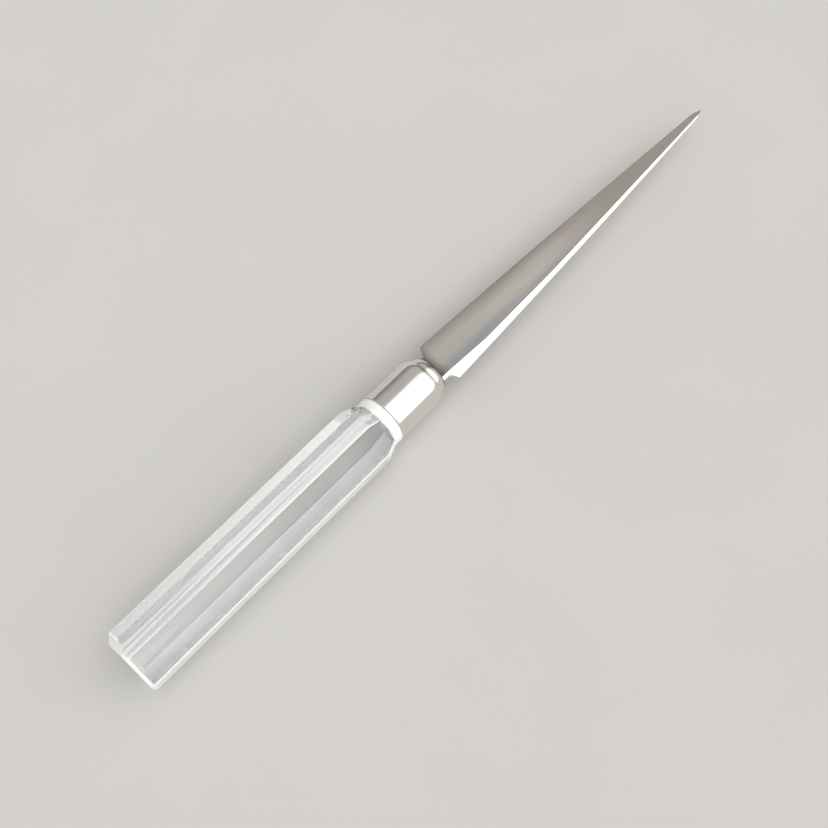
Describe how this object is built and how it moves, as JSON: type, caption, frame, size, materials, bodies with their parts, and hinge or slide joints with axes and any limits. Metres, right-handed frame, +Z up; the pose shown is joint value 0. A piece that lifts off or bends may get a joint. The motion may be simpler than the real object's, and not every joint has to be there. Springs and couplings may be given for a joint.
{
  "type": "letter opener",
  "caption": "Letter opener with a long tapering blade bevelled along one edge, a round polished ferrule and a clear faceted bar handle.",
  "frame": {"origin": "on the table, under the middle of the opener's whole length and width", "axes": "+X along the opener from the butt of the handle to the tip of the blade, +Z up with the blade lying level, +Y to the blade's thick edge"},
  "size_m": [0.2284, 0.0178, 0.0179],
  "materials": {
    "clear_acrylic": "clear colourless acrylic, wide facets and butt buffed, narrow facets, bevel and collar left satin",
    "plated_ferrule": "bright nickel or chrome plate on a drawn shell, faint hairlines",
    "polished_steel": "polished stainless steel, ground bevel, soft satin wear",
    "set_cement": "set white bonding cement, hidden"
  },
  "bodies": {
    "root": {"handle": "clear_acrylic", "ferrule": "plated_ferrule", "blade": "polished_steel", "tang_cement": "set_cement"}
  },
  "joints": []
}
